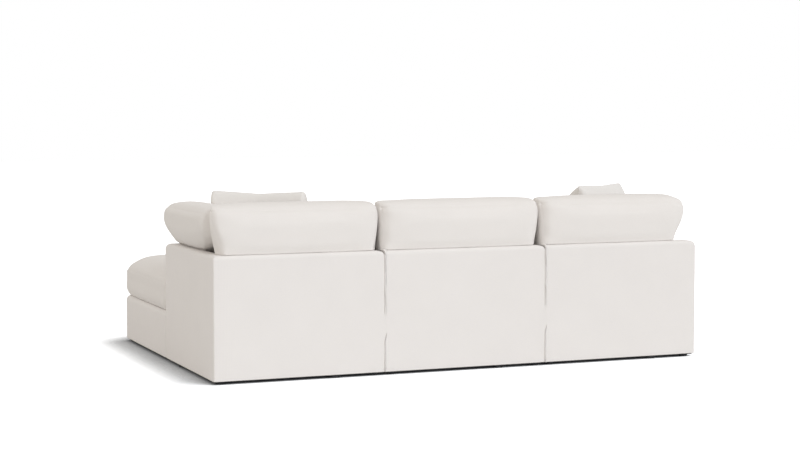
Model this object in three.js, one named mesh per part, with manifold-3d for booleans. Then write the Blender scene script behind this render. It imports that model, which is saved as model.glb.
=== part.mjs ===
// Modular sectional sofa with a chaise. Four square modules stand side by side: a corner module with
// a back panel and a side panel, an armless middle module, an armless end module, and an ottoman in
// front of the corner that makes the chaise. Millimetres, +Z up, backs towards +Y, chaise towards +X.
import * as THREE from "three";
import { mergeVertices } from "three/addons/utils/BufferGeometryUtils.js";
import Module from "manifold-3d";

const wasm = await Module();
wasm.setup();

// Driving sizes of the whole sofa
const moduleSize = 920; // side of each module's square footprint
const panelHeight = 646; // floor to the top of a back or side panel
const panelThickness = 80;
const baseHeight = 271; // floor to the top of an upholstered base
const skirtHeight = 14; // floor to the lower edge of the fabric
const touchGap = 0.3; // left between pieces that touch
const moduleGap = 0.6; // left between neighbouring modules
const overrun = 30; // how far a cutting solid runs past what it cuts
const weldDistance = 0.001; // corners closer than this are one

// Upholstery over the frames
const coverWall = 8; // padding and cloth together
const deckWall = 6; // padded deck cloth under the seat cushions
const panelEdgeRadius = 20;
const panelCornerRun = 55; // rounded top corner of a panel's free end, measured along the panel
const panelCornerDrop = 30; // and downwards
const panelSeamRadius = 7; // top corner of a panel's end that has a neighbour
const baseEdgeRadius = 34;
const baseCornerRadius = 26;
const dustCoverThickness = 1.2;
const dustCoverInset = 9; // from the module's outline to the dust cover's edge

// Timber frames
const railThickness = 25;
const ribShares = [-1 / 3, 1 / 3]; // places of the ribs, from the middle to either rail
const postWidth = 45;
const bottomRailHeight = 70;
const topRailHeight = 50;
const middleRailHeight = 45;
const cornerBlock = 75;
const cornerBlockHeight = 60;

// Webbing that carries the seat
const webbingThickness = 2.4;
const webbingWidth = 80;
const webbingStraps = 4; // each way
const webbingInset = baseEdgeRadius; // from the frame's edge to the end of a strap

// Feet: low round glides under the posts and corner blocks
const footTopRadius = 27;
const footBottomRadius = 23;
const footInset = 47; // from the module's outline to the middle of a foot
const footSides = 12;

// Steel connectors under the seams, and brackets between base and panel frames
const tongueWidth = 50;
const tongueThickness = 4;
const tongueLength = 170;
const tongueReach = 58; // past the seam into the next module
const tongueTip = 14;
const receiverLength = 50;
const receiverSheet = 2;
const receiverFlange = 24;
const receiverPlay = 0.4; // on each side of the tongue
const receiverSetback = 12; // from the seam to the receiver
const bracketWidth = 42;
const bracketLength = 150;
const bracketThickness = 3;
const bracketBend = 9; // turned-down lip that stiffens a bracket
const screwHoleRadius = 3;
const screwHoleSides = 6;
const screwInset = 14; // from a tongue's end and its middle line to a screw

// Seat and ottoman cushions
const seatSeamHeight = 150; // from the deck to the upper seam
const seatLowSeam = 22; // from the deck to the lower seam
const seatCrown = 100;
const seatSideBulge = 9;
const seatCornerRadius = 52;
const seatPlay = 1.2; // between a seat cushion and what stands beside it
const seatBottomInset = 16;
const seatBottomRound = 38;

// Back and side cushions
const backCushionTop = 891;
const backCushionRise = 169; // from the deck to the bottom of a back cushion
const backCushionDepth = 228;
const backCushionBottom = baseHeight + backCushionRise;
const backCushionEdge = 30; // rounding where the faces meet the boxing
const backCushionCorner = 48;
const backCushionCrown = 15;
const backOverhang = 58; // how far the upper half lolls back over the panel
const sideOverhang = 78; // the side cushion lolls further over the side panel
const sideCushionDrop = 26; // and so stands lower than the back cushions
const cushionPlay = 1.5; // between two back cushions
const cornerMitre = 78; // the mitre between the corner's two cushions, towards the side cushion

// Throw pillows
const pillowPuff = 88; // half of the thickness in the middle
const pillowSize = 505;
const pillowHeight = 480;
const pillowReach = 220; // from a cushion's front to the foot of the pillow that leans on it
const leftPillowReach = 190;
const rightPillowWidth = 530;
const pillowEarDraw = 26; // how far the sides are drawn in between the corners

// How finely curves are faceted
const sideSteps = 5;
const cornerSteps = 3;
const edgeSteps = 3;
const boxingSteps = 2;

const half = (moduleSize - moduleGap) / 2; // half of a module's real width
const frameInset = coverWall + touchGap;
const panelInner = half - panelThickness; // inner face of a back or side panel

// One box as a closed geometry between two corners
function boxBetween(low, high) {
  const size = high.map((value, i) => value - low[i]);
  return new THREE.BoxGeometry(...size).translate(...low.map((value, i) => value + size[i] / 2));
}

// A closed geometry as a solid that can be joined and cut
function solidOf(geometry) {
  const bare = geometry.index ? geometry.toNonIndexed() : geometry.clone();
  bare.deleteAttribute("normal");
  bare.deleteAttribute("uv");
  const merged = mergeVertices(bare, weldDistance);
  const triVerts = new Uint32Array(merged.index.array);
  const vertProperties = merged.attributes.position.array;
  return new wasm.Manifold(new wasm.Mesh({ numProp: 3, vertProperties, triVerts }));
}

const block = (low, high) => solidOf(boxBetween(low, high));
const joined = (solids) => solids.reduce((whole, next) => whole.add(next));

// A solid back as a three.js geometry
function geometryOf(solid) {
  const { vertProperties, triVerts, numProp, numVert } = solid.getMesh();
  const positions = new Float32Array(numVert * 3);
  for (let i = 0; i < numVert; i++) {
    positions.set(vertProperties.subarray(i * numProp, i * numProp + 3), i * 3);
  }
  const geometry = new THREE.BufferGeometry();
  geometry.setAttribute("position", new THREE.BufferAttribute(positions, 3));
  geometry.setIndex(new THREE.BufferAttribute(new Uint32Array(triVerts), 1));
  return geometry.toNonIndexed();
}

// A closed skin over a stack of rings with as many points each, fanned to a point at either end
function loft(rings, start, end) {
  const points = [start, ...rings.flat(), end];
  const count = rings[0].length;
  const last = points.length - 1;
  const index = [];
  const at = (ring, i) => 1 + ring * count + (i % count);
  for (let i = 0; i < count; i++) {
    index.push(0, at(0, i + 1), at(0, i));
    index.push(last, at(rings.length - 1, i), at(rings.length - 1, i + 1));
    for (let ring = 0; ring + 1 < rings.length; ring++) {
      const corners = [at(ring, i), at(ring, i + 1), at(ring + 1, i + 1), at(ring + 1, i)];
      index.push(corners[0], corners[1], corners[2], corners[0], corners[2], corners[3]);
    }
  }
  const geometry = new THREE.BufferGeometry();
  geometry.setAttribute("position", new THREE.Float32BufferAttribute(points.flat(), 3));
  geometry.setIndex(facingOut(points, index));
  return geometry;
}

// The same triangles, turned round if together they face inwards
function facingOut(points, index) {
  const [a, b, c] = [new THREE.Vector3(), new THREE.Vector3(), new THREE.Vector3()];
  let volume = 0;
  for (let i = 0; i < index.length; i += 3) {
    a.set(...points[index[i]]);
    b.set(...points[index[i + 1]]);
    c.set(...points[index[i + 2]]);
    volume += a.dot(b.cross(c));
  }
  return volume > 0 ? index : index.reverse();
}

const middleOf = (ring) => [0, 1, 2].map((i) => ring.reduce((sum, p) => sum + p[i], 0) / ring.length);

// A quarter turn in equal steps, each as [sine, one minus cosine]
function quarter(steps) {
  return Array.from({ length: steps + 1 }, (_, i) => {
    const angle = (Math.PI / 2) * (i / steps);
    return [Math.sin(angle), 1 - Math.cos(angle)];
  });
}

// A rounded rectangle as [a, b] pairs, anticlockwise from the right side
function roundedOutline(lowA, highA, lowB, highB, radius, steps = sideSteps) {
  const centres = [
    [highA - radius, highB - radius],
    [lowA + radius, highB - radius],
    [lowA + radius, lowB + radius],
    [highA - radius, lowB + radius],
  ];
  const arcs = centres.map(([a, b], turn) =>
    Array.from({ length: cornerSteps + 1 }, (_, i) => {
      const angle = (Math.PI / 2) * (turn + i / cornerSteps);
      return [a + radius * Math.cos(angle), b + radius * Math.sin(angle)];
    }),
  );
  return arcs.flatMap((arc, turn) => {
    const [from, to] = [arc.at(-1), arcs[(turn + 1) % arcs.length][0]];
    const between = Array.from({ length: steps - 1 }, (_, i) => {
      const share = (i + 1) / steps;
      return [from[0] + (to[0] - from[0]) * share, from[1] + (to[1] - from[1]) * share];
    });
    return [...arc, ...between];
  });
}

// Panels

// Outer form of a panel that runs along x, or the same form a distance inside it. A free end has a
// rounded top corner, and a mitred end is left square for the mitre to cut.
function panelForm({ low, high, lowCorner, highCorner }, inset, bottom) {
  const radius = Math.max(panelEdgeRadius - inset, touchGap);
  const inner = panelInner + inset;
  const outer = half - inset;
  const outlineAt = (y, drawn) => {
    const top = panelHeight - inset - drawn;
    const left = low + inset + drawn;
    const right = high - inset - drawn;
    const ring = [
      [left, y, bottom],
      [right, y, bottom],
    ];
    const corner = (x, towards, [run, drop]) =>
      quarter(edgeSteps + 1).map(([sine, away]) => [
        x - towards * run * away,
        y,
        top - drop + drop * sine,
      ]);
    ring.push(...corner(right, 1, highCorner));
    ring.push(...corner(left, -1, lowCorner).reverse());
    return ring;
  };
  const rounding = quarter(edgeSteps);
  const rings = [
    ...rounding.map(([sine, away]) => outlineAt(inner + radius * away, radius * (1 - sine))),
    ...rounding.reverse().map(([sine, away]) => outlineAt(outer - radius * away, radius * (1 - sine))),
  ];
  return solidOf(loft(rings, middleOf(rings[0]), middleOf(rings.at(-1))));
}

const freeCorner = [panelCornerRun, panelCornerDrop];
const seamCorner = [panelSeamRadius, panelSeamRadius];
const mitredCorner = [touchGap, touchGap];
const backPanels = {
  corner: { low: -half, high: half, lowCorner: freeCorner, highCorner: mitredCorner },
  middle: { low: -half, high: half, lowCorner: freeCorner, highCorner: seamCorner },
  right: { low: -half, high: half, lowCorner: freeCorner, highCorner: seamCorner },
};
const sidePanel = { low: -half, high: half, lowCorner: mitredCorner, highCorner: freeCorner };

// Everything on the back side of the diagonal y = x + shift
function behindDiagonal(shift) {
  const reach = 2 * moduleSize;
  const outline = new THREE.Shape();
  outline.moveTo(-reach, -reach + shift);
  outline.lineTo(reach, reach + shift);
  outline.lineTo(-reach, reach + shift);
  outline.closePath();
  return solidOf(new THREE.ExtrudeGeometry(outline, { depth: reach, bevelEnabled: false }));
}

// The cover of a panel is a shell, open at the bottom, and its timber frame stands inside it
function panelCover(panel, cut) {
  const outer = cut(panelForm(panel, 0, skirtHeight), 0);
  const hollow = cut(panelForm(panel, coverWall, skirtHeight - overrun), coverWall);
  return outer.subtract(hollow);
}

function panelFrame(panel, cut) {
  const low = [-half + frameInset, panelInner + frameInset, skirtHeight];
  const high = [half - frameInset, half - frameInset, panelHeight - frameInset];
  const width = high[0] - low[0];
  const bays = ribShares.length + 1;
  const bayWidth = (width - postWidth * (bays + 1)) / bays;
  const bayPitch = bayWidth + postWidth;
  const middle = baseHeight;
  const levels = [
    [low[2] + bottomRailHeight, middle],
    [middle + middleRailHeight, high[2] - topRailHeight],
  ];
  let frame = block(low, high);
  for (let bay = 0; bay < bays; bay++) {
    const left = low[0] + postWidth + bay * bayPitch;
    for (const [from, to] of levels) {
      const holeLow = [left, low[1] - overrun, from];
      frame = frame.subtract(block(holeLow, [left + bayWidth, high[1] + overrun, to]));
    }
  }
  return frame.intersect(cut(panelForm(panel, frameInset, skirtHeight), frameInset));
}

// The corner's two panels meet in a mitre, so each cut keeps its own side of the diagonal
const halfGap = touchGap / 2;
const keepWhole = (solid) => solid;
const keepBack = (solid, inset) => solid.intersect(behindDiagonal((inset + halfGap) * Math.SQRT2));
const sideTurn = -90; // the side panel is a back panel turned towards +X
const sideways = (solid) => solid.rotate([0, 0, sideTurn]);
const keepSide = (solid, inset) => {
  const mirrored = behindDiagonal((inset + halfGap) * Math.SQRT2).mirror([1, 0, 0]);
  return solid.intersect(mirrored);
};

// Bases

// Outer form of an upholstered base: a box with rounded upright and top edges, or that form a
// distance inside it
function baseForm({ low, high }, inset, bottom, top) {
  const radius = Math.max(baseEdgeRadius - inset, touchGap);
  const corner = Math.max(baseCornerRadius - inset, touchGap);
  const ringAt = (z, drawn) =>
    roundedOutline(
      low[0] + inset + drawn,
      high[0] - inset - drawn,
      low[1] + inset + drawn,
      high[1] - inset - drawn,
      corner,
      1,
    ).map(([x, y]) => [x, y, z]);
  const rings = [
    ringAt(bottom, 0),
    ...quarter(edgeSteps).map(([sine, away]) => ringAt(top - radius + radius * sine, radius * away)),
  ];
  return solidOf(loft(rings, middleOf(rings[0]), middleOf(rings.at(-1))));
}

const backEdge = panelInner - touchGap; // where a base meets the back panel
const footprints = {
  corner: { low: [-half, -half], high: [backEdge, backEdge] },
  middle: { low: [-half, -half], high: [half, backEdge] },
  right: { low: [-half, -half], high: [half, backEdge] },
  ottoman: { low: [-half, -half], high: [half, half] },
};
const webbingTop = baseHeight - deckWall - touchGap;
const frameTop = webbingTop - webbingThickness - touchGap;

function baseCover(footprint) {
  const outer = baseForm(footprint, 0, skirtHeight, baseHeight);
  return outer.subtract(baseForm(footprint, coverWall, skirtHeight - overrun, baseHeight - deckWall));
}

// Rails, ribs both ways and corner blocks, planed to the padding's inside
function baseFrame(footprint) {
  const low = [...footprint.low.map((value) => value + frameInset), skirtHeight];
  const high = [...footprint.high.map((value) => value - frameInset), frameTop];
  let frame = block(low, high);
  const cells = (axis) => {
    const reach = (high[axis] - low[axis] - railThickness) / 2;
    const centre = (high[axis] + low[axis]) / 2;
    const places = [-1, ...ribShares, 1].map((share) => centre + share * reach);
    return places.slice(1).map((place, i) => [places[i] + railThickness / 2, place - railThickness / 2]);
  };
  for (const [lowX, highX] of cells(0)) {
    for (const [lowY, highY] of cells(1)) {
      const top = frameTop + overrun;
      frame = frame.subtract(block([lowX, lowY, low[2] - overrun], [highX, highY, top]));
    }
  }
  for (const x of [low[0], high[0] - cornerBlock]) {
    for (const y of [low[1], high[1] - cornerBlock]) {
      const blockHigh = [x + cornerBlock, y + cornerBlock, low[2] + cornerBlockHeight];
      frame = frame.add(block([x, y, low[2]], blockHigh));
    }
  }
  return frame.intersect(baseForm(footprint, frameInset, skirtHeight, frameTop));
}

// Straps both ways, woven and stapled down as one net on top of the frame
function seatWebbing(footprint) {
  const low = footprint.low.map((value) => value + frameInset + webbingInset);
  const high = footprint.high.map((value) => value - frameInset - webbingInset);
  const openings = (axis) => {
    const pitch = (high[axis] - low[axis] - 2 * webbingWidth) / (webbingStraps - 1);
    const straps = Array.from({ length: webbingStraps }, (_, i) => {
      return low[axis] + webbingWidth / 2 + pitch * i;
    });
    const starts = [low[axis] - overrun - webbingWidth, ...straps, high[axis] + overrun];
    return starts.slice(1).map((next, i) => [starts[i] + webbingWidth, next]);
  };
  const bottom = webbingTop - webbingThickness;
  let net = block([...low, bottom], [...high, webbingTop]);
  for (const [lowX, highX] of openings(0)) {
    for (const [lowY, highY] of openings(1)) {
      net = net.subtract(block([lowX, lowY, bottom - overrun], [highX, highY, webbingTop + overrun]));
    }
  }
  return net;
}

// Underside: everything below is screwed up through the dust cover
const clothBottom = skirtHeight - 2 * touchGap - dustCoverThickness;

const footPlaces = {};
for (const [depth, y] of [["front", -1], ["back", 1]]) {
  for (const [side, x] of [["left", 1], ["right", -1]]) {
    footPlaces[`${depth}_${side}`] = [x * (half - footInset), y * (half - footInset)];
  }
}

function footGeometry() {
  const profile = [
    [0, 0],
    [footBottomRadius, 0],
    [footTopRadius, clothBottom],
    [0, clothBottom],
  ].map(([x, y]) => new THREE.Vector2(x, y));
  return new THREE.LatheGeometry(profile, footSides).rotateX(Math.PI / 2);
}

const upright = (radius, sides, bottom, top) =>
  solidOf(
    new THREE.CylinderGeometry(radius, radius, top - bottom, sides)
      .rotateX(Math.PI / 2)
      .translate(0, 0, (top + bottom) / 2),
  );

// Black cloth stapled under each module, between the frame and the feet
function dustCover() {
  const edge = half - dustCoverInset;
  const top = skirtHeight - touchGap;
  return boxBetween([-edge, -edge, top - dustCoverThickness], [edge, edge, top]);
}

// Steel under the sofa

function screwHoles(plate, places) {
  return places.reduce((cut, [x, y]) => {
    const hole = upright(screwHoleRadius, screwHoleSides, -overrun, skirtHeight + overrun);
    return cut.subtract(hole.translate([x, y, 0]));
  }, plate);
}

// A flat tongue screwed under one module, its tip past the seam at x = 0 towards +x
function connectorTongue() {
  const outline = new THREE.Shape();
  const start = tongueReach - tongueLength;
  outline.moveTo(start, -tongueWidth / 2);
  outline.lineTo(tongueReach - tongueTip, -tongueWidth / 2);
  outline.lineTo(tongueReach, -tongueWidth / 2 + tongueTip);
  outline.lineTo(tongueReach, tongueWidth / 2 - tongueTip);
  outline.lineTo(tongueReach - tongueTip, tongueWidth / 2);
  outline.lineTo(start, tongueWidth / 2);
  outline.closePath();
  const plate = solidOf(
    new THREE.ExtrudeGeometry(outline, { depth: tongueThickness, bevelEnabled: false }),
  ).translate([0, 0, clothBottom - tongueThickness]);
  const rows = [start + screwInset, -screwInset - receiverSetback];
  return screwHoles(plate, rows.flatMap((x) => [[x, -screwInset], [x, screwInset]]));
}

// A hat-shaped strap that the tongue slides into, from the seam at x = 0 towards +x
function connectorReceiver() {
  const inside = tongueWidth / 2 + receiverPlay;
  const outside = inside + receiverSheet;
  const edge = outside + receiverFlange;
  const floor = clothBottom - tongueThickness - receiverPlay;
  const outline = new THREE.Shape();
  outline.moveTo(-edge, clothBottom);
  outline.lineTo(-edge, clothBottom - receiverSheet);
  outline.lineTo(-outside, clothBottom - receiverSheet);
  outline.lineTo(-outside, floor - receiverSheet);
  outline.lineTo(outside, floor - receiverSheet);
  outline.lineTo(outside, clothBottom - receiverSheet);
  outline.lineTo(edge, clothBottom - receiverSheet);
  outline.lineTo(edge, clothBottom);
  outline.lineTo(inside, clothBottom);
  outline.lineTo(inside, floor);
  outline.lineTo(-inside, floor);
  outline.lineTo(-inside, clothBottom);
  outline.closePath();
  const bar = new THREE.ExtrudeGeometry(outline, { depth: receiverLength, bevelEnabled: false })
    .rotateX(Math.PI / 2)
    .rotateZ(Math.PI / 2)
    .translate(receiverSetback, 0, 0);
  const middle = receiverSetback + receiverLength / 2;
  const side = outside + receiverFlange / 2;
  return screwHoles(solidOf(bar), [[middle, -side], [middle, side]]);
}

// A flat bracket across the joint between a base frame and a panel frame, at y = 0
function panelBracket() {
  const plate = joined([
    block(
      [-bracketWidth / 2, -bracketLength / 2, clothBottom - bracketThickness],
      [bracketWidth / 2, bracketLength / 2, clothBottom],
    ),
    block(
      [-bracketWidth / 2, -bracketLength / 2, clothBottom - bracketBend],
      [-bracketWidth / 2 + bracketThickness, bracketLength / 2, clothBottom],
    ),
  ]);
  const [near, far] = [bracketLength / 2 - bracketWidth / 2, bracketLength / 2 - bracketWidth];
  return screwHoles(plate, [[0, -near], [0, -far], [0, far], [0, near]]);
}

// Cushions

// A lying cushion between two corners: flat below, drawn in at its lower seam, crowned on top
const seatRingShares = [0.97, 0.9, 0.75, 0.45];
const seatCrownPower = 5;
function lyingCushion(low, high) {
  const deck = baseHeight + touchGap;
  const centre = low.map((value, i) => (value + high[i]) / 2);
  const ring = (inset, z) =>
    roundedOutline(
      low[0] + inset,
      high[0] - inset,
      low[1] + inset,
      high[1] - inset,
      seatCornerRadius,
    ).map(([x, y]) => [x, y, z]);
  const seam = ring(seatSideBulge, deck + seatSeamHeight);
  const crowned = seatRingShares.map((share) =>
    seam.map(([x, y]) => [
      centre[0] + (x - centre[0]) * share,
      centre[1] + (y - centre[1]) * share,
      deck + seatSeamHeight + seatCrown * (1 - share ** seatCrownPower),
    ]),
  );
  const rings = [
    ring(seatBottomRound, deck),
    ring(seatBottomInset, deck + seatLowSeam),
    ring(0, deck + (seatLowSeam + seatSeamHeight) / 2),
    seam,
    ...crowned,
  ];
  const top = [...centre, deck + seatSeamHeight + seatCrown];
  return solidOf(loft(rings, [...centre, deck], top));
}

// A standing boxed cushion whose back leans on a panel along x. Its upper half lolls back over the
// panel, and each side is drawn in by its own amount halfway up.
const faceShares = [0.8, 0.5, 0.22];
const faceCrownPower = 2.4;
const lollStartShare = 0.36;
const lollEndShare = 0.86;
const frontLollShare = 1 / 3; // of the back face's loll
function standingCushion({ low, high, lowDraw, highDraw, overhang, drop }) {
  const [bottom, top] = [backCushionBottom, backCushionTop - drop];
  const front = panelInner - touchGap - backCushionDepth;
  const centreY = front + backCushionDepth / 2;
  const reach = backCushionDepth / 2;
  const [midX, midZ] = [(low + high) / 2, (bottom + top) / 2];
  const halfWidth = (high - low) / 2;
  const halfHeight = (top - bottom) / 2;
  const shaped = ([x, z], depth) => {
    const [shareX, shareZ] = [(x - midX) / halfWidth, (z - midZ) / halfHeight];
    const waist = 1 - Math.min(shareZ ** 2, 1);
    const drawn = (shareX > 0 ? highDraw : lowDraw) * waist * shareX;
    const rise = (z - bottom) / (top - bottom);
    const loll = overhang * THREE.MathUtils.smoothstep(rise, lollStartShare, lollEndShare);
    const share = (depth + reach) / (2 * reach);
    return [x - drawn, centreY + depth + loll * (frontLollShare + (1 - frontLollShare) * share), z];
  };
  const outlineAt = (inset) =>
    roundedOutline(low + inset, high - inset, bottom + inset, top - inset, backCushionCorner);
  const boxing = quarter(boxingSteps).map(([sine, away]) => [
    backCushionEdge * (1 - sine),
    reach - backCushionCrown - backCushionEdge * away,
  ]);
  const flat = outlineAt(backCushionEdge);
  const faceRings = (towards) =>
    faceShares.map((share) =>
      flat.map(([x, z]) =>
        shaped(
          [midX + (x - midX) * share, midZ + (z - midZ) * share],
          towards * (reach - backCushionCrown * share ** faceCrownPower),
        ),
      ),
    );
  const sideRings = (towards) =>
    boxing.map(([inset, depth]) =>
      outlineAt(inset).map(([x, z]) => shaped([x, z], towards * depth)),
    );
  const rings = [
    ...faceRings(-1).reverse(),
    ...sideRings(-1),
    ...sideRings(1).reverse(),
    ...faceRings(1),
  ];
  const pole = (towards) => shaped([midX, midZ], towards * reach);
  return solidOf(loft(rings, pole(-1), pole(1)));
}

// A knife-edged throw pillow, width along x, height along z, with drawn-in sides
const pillowShares = [0.3, 0.6, 0.82, 0.94];
const pillowPower = 2.2;
function throwPillow({ width, height, corner, puff }) {
  const outline = roundedOutline(-width / 2, width / 2, -height / 2, height / 2, corner);
  const shaped = ([x, z], share, towards) => {
    const [shareX, shareZ] = [(2 * x) / width, (2 * z) / height];
    const drawX = pillowEarDraw * (1 - shareZ ** 2) * shareX;
    const drawZ = pillowEarDraw * (1 - shareX ** 2) * shareZ;
    const swell = Math.sqrt(Math.max(1 - share ** pillowPower, 0));
    return [(x - drawX) * share, towards * puff * swell, (z - drawZ) * share];
  };
  const side = (towards) => pillowShares.map((share) => outline.map((p) => shaped(p, share, towards)));
  const rings = [...side(-1), outline.map((p) => shaped(p, 1, 0)), ...side(1).reverse()];
  return solidOf(loft(rings, [0, -puff, 0], [0, puff, 0]));
}

// Where the cushions stand, each in its own module's frame
const cushionEnd = (moduleSize - cushionPlay) / 2;
const sideInset = 2; // from the side panel's outer face to the cushions in the corner
const cornerRear = 95; // from the back face to the rear end of the side cushion
const openEnd = 16; // from the end of the sofa to the last back cushion
const backLoll = { overhang: backOverhang, drop: 0 };
const backCushions = {
  corner: { low: -cushionEnd, high: half - sideInset, lowDraw: 18, highDraw: 60, ...backLoll },
  middle: { low: -cushionEnd, high: cushionEnd, lowDraw: 22, highDraw: 14, ...backLoll },
  right: { low: -cushionEnd + openEnd, high: cushionEnd, lowDraw: 64, highDraw: 14, ...backLoll },
};
const sideCushionSpot = {
  low: -half + cornerRear,
  high: half - sideInset,
  lowDraw: 150,
  highDraw: 12,
  overhang: sideOverhang,
  drop: sideCushionDrop,
};

const seatEnd = moduleSize / 2 - seatPlay;
const seatBack = panelInner - seatPlay;
const seats = {
  corner: lyingCushion([-seatEnd, -seatEnd], [seatBack, seatBack]),
  middle: lyingCushion([-seatEnd, -seatEnd], [seatEnd, seatBack]),
  right: lyingCushion([-seatEnd, -seatEnd], [seatEnd, seatBack]),
  ottoman: lyingCushion([-seatEnd, -seatEnd], [seatEnd, seatEnd]),
};

// A cushion gives way where it meets something firmer, so it is cut to it with a small gap
const panelCutter = panelForm(
  { low: -moduleSize, high: moduleSize, lowCorner: mitredCorner, highCorner: mitredCorner },
  -touchGap,
  skirtHeight,
);
const bothPanels = panelCutter.add(sideways(panelCutter));
const seatedOn = (cushion, seat) => cushion.subtract(seat.translate([0, 0, touchGap]));
const mitreShift = halfGap * Math.SQRT2;
const backs = {};
for (const [name, spot] of Object.entries(backCushions)) {
  backs[name] = seatedOn(standingCushion(spot).subtract(panelCutter), seats[name]);
}
backs.corner = backs.corner
  .subtract(bothPanels)
  .intersect(behindDiagonal(mitreShift - cornerMitre));
const sideCushion = seatedOn(sideways(standingCushion(sideCushionSpot)), seats.corner)
  .subtract(bothPanels)
  .subtract(behindDiagonal(-mitreShift - cornerMitre));

// Pillows stand on their lower edge, sunk a little into the seat's crown, lean back and are turned
// about the vertical
const seatTop = baseHeight + seatSeamHeight + seatCrown;
const pillowLean = 20;
function standingPillow({ width, corner, x, y, sink, turn }) {
  const pillow = throwPillow({ width, height: pillowHeight, corner, puff: pillowPuff })
    .translate([0, 0, pillowHeight / 2])
    .rotate([-pillowLean, 0, 0])
    .rotate([0, 0, turn]);
  return pillow.translate([x, y, seatTop - sink]);
}

const pillowSpots = {
  left: {
    width: pillowSize,
    corner: 34,
    x: panelInner - backCushionDepth - leftPillowReach,
    y: -190,
    sink: 30,
    turn: -36,
  },
  right: {
    width: rightPillowWidth,
    corner: 78,
    x: 5,
    y: panelInner - backCushionDepth - pillowReach,
    sink: 20,
    turn: 27.5,
  },
};
const besideSideCushion = block(
  [panelInner - 2 * touchGap - backCushionDepth, -moduleSize, 0],
  [moduleSize, moduleSize, (backCushionBottom + backCushionTop) / 2],
);
const leftPillow = seatedOn(standingPillow(pillowSpots.left), seats.corner)
  .subtract(sideCushion.translate([-touchGap, 0, touchGap]))
  .subtract(besideSideCushion);
const rightPillow = seatedOn(standingPillow(pillowSpots.right), seats.right).subtract(
  backs.right.translate([0, -touchGap, touchGap]),
);

// Materials

const ivoryCloth = { color: 0xe9e5e1, roughness: 0.92, metalness: 0 };
const cushionCloth = { color: 0xe7e3df, roughness: 0.92, metalness: 0 };
const pillowCloth = { color: 0xe3dfd8, roughness: 0.93, metalness: 0 };
const timber = { color: 0xc9a877, roughness: 0.75, metalness: 0 };
const strapCloth = { color: 0x6f6a5e, roughness: 0.95, metalness: 0 };
const blackCloth = { color: 0x17171a, roughness: 0.95, metalness: 0 };
const blackPlastic = { color: 0x121214, roughness: 0.55, metalness: 0 };
const zincSteel = { color: 0xb4b7ba, roughness: 0.35, metalness: 1 };

// One named piece of a module, from a solid or a geometry
function piece(group, name, shape, look, place = [0, 0], turn = 0) {
  const geometry = shape.isBufferGeometry ? shape : geometryOf(shape);
  const mesh = new THREE.Mesh(geometry, new THREE.MeshStandardMaterial(look));
  mesh.name = name;
  mesh.position.set(...place, 0);
  mesh.rotation.z = turn;
  group.add(mesh);
}

// What every module has: frame, webbing, cover, dust cover and feet
function seatBase(name) {
  const group = new THREE.Group();
  const footprint = footprints[name];
  piece(group, `${name}_base_frame`, baseFrame(footprint), timber);
  piece(group, `${name}_seat_webbing`, seatWebbing(footprint), strapCloth);
  piece(group, `${name}_base_cover`, baseCover(footprint), ivoryCloth);
  piece(group, `${name}_dust_cover`, dustCover(), blackCloth);
  piece(group, `${name}_seat_cushion`, seats[name], cushionCloth);
  for (const [corner, place] of Object.entries(footPlaces)) {
    piece(group, `${name}_foot_${corner}`, footGeometry(), blackPlastic, place);
  }
  return group;
}

const quarterTurn = Math.PI / 2;
const seam = moduleSize / 2;
const bracketX = -panelInner / 2;

// A back panel with its cover, frame, bracket and cushion
function addBack(group, name) {
  const cut = name === "corner" ? keepBack : keepWhole;
  const panel = backPanels[name];
  piece(group, `${name}_back_cover`, panelCover(panel, cut), ivoryCloth);
  piece(group, `${name}_back_frame`, panelFrame(panel, cut), timber);
  piece(group, `${name}_back_bracket`, panelBracket(), zincSteel, [bracketX, panelInner]);
  piece(group, `${name}_back_cushion`, backs[name], cushionCloth);
}

const corner = seatBase("corner");
addBack(corner, "corner");
piece(corner, "corner_side_cover", sideways(panelCover(sidePanel, keepSide)), ivoryCloth);
piece(corner, "corner_side_frame", sideways(panelFrame(sidePanel, keepSide)), timber);
piece(corner, "corner_side_bracket", panelBracket(), zincSteel, [panelInner, bracketX], quarterTurn);
piece(corner, "corner_side_cushion", sideCushion, cushionCloth);
piece(corner, "corner_receiver_right", connectorReceiver(), zincSteel, [-seam, 0]);
piece(corner, "corner_receiver_front", connectorReceiver(), zincSteel, [0, -seam], quarterTurn);
piece(corner, "left_pillow", leftPillow, pillowCloth);

const middle = seatBase("middle");
addBack(middle, "middle");
piece(middle, "middle_tongue", connectorTongue(), zincSteel, [seam, 0]);
piece(middle, "middle_receiver_right", connectorReceiver(), zincSteel, [-seam, 0]);

const right = seatBase("right");
addBack(right, "right");
piece(right, "right_tongue", connectorTongue(), zincSteel, [seam, 0]);
piece(right, "right_pillow", rightPillow, pillowCloth);

const ottoman = seatBase("ottoman");
piece(ottoman, "ottoman_tongue", connectorTongue(), zincSteel, [0, seam], quarterTurn);

// The modules side by side, with the ottoman in front of the corner
corner.position.set(moduleSize, seam, 0);
middle.position.set(0, seam, 0);
right.position.set(-moduleSize, seam, 0);
ottoman.position.set(moduleSize, -seam, 0);

const sofa = new THREE.Group();
sofa.add(corner, middle, right, ottoman);

export default sofa;
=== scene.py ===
import math
import bmesh
import bpy
import numpy as np
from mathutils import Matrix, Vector
from mathutils.bvhtree import BVHTree


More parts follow.
